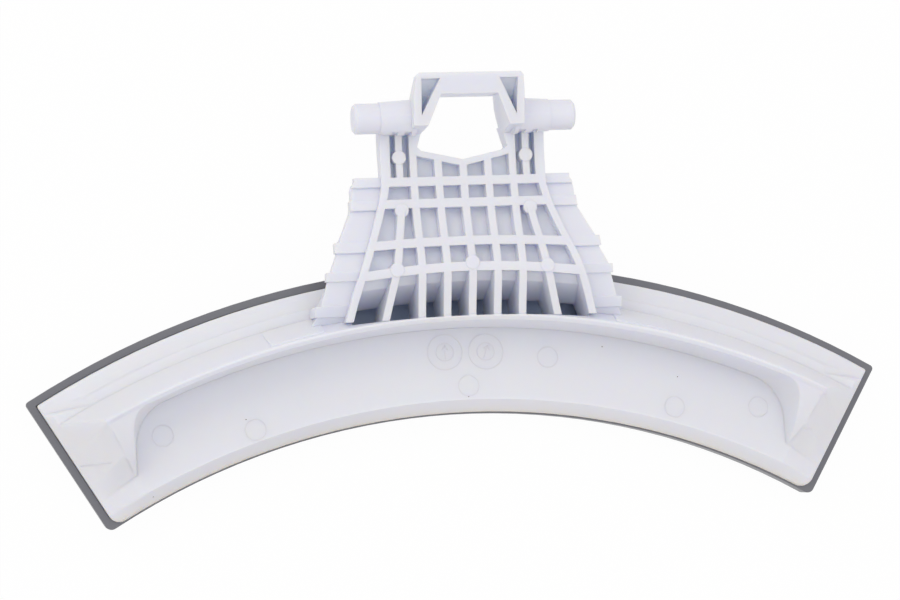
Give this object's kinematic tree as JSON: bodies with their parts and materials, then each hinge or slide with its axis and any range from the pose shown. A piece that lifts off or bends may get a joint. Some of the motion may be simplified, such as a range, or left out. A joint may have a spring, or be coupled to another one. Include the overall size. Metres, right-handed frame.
{
  "type": "tumble dryer door handle",
  "caption": "Curved door handle with a finger recess, a ribbed lever, two round pivot pins and a square catch loop.",
  "frame": {"origin": "middle of the front panel's flat front face, which is the side the part lies on", "axes": "+X along the handle, +Y from the finger recess towards the catch loop, +Z from the flat front face towards the back of the handle"},
  "size_m": [0.2012, 0.0991, 0.0284],
  "materials": {
    "white_plastic": "satin moulded white plastic",
    "grey_plastic": "smooth grey plastic, the side that is seen on the door"
  },
  "bodies": {
    "root": {"handle_body": "white_plastic", "front_panel": "grey_plastic"}
  },
  "joints": []
}
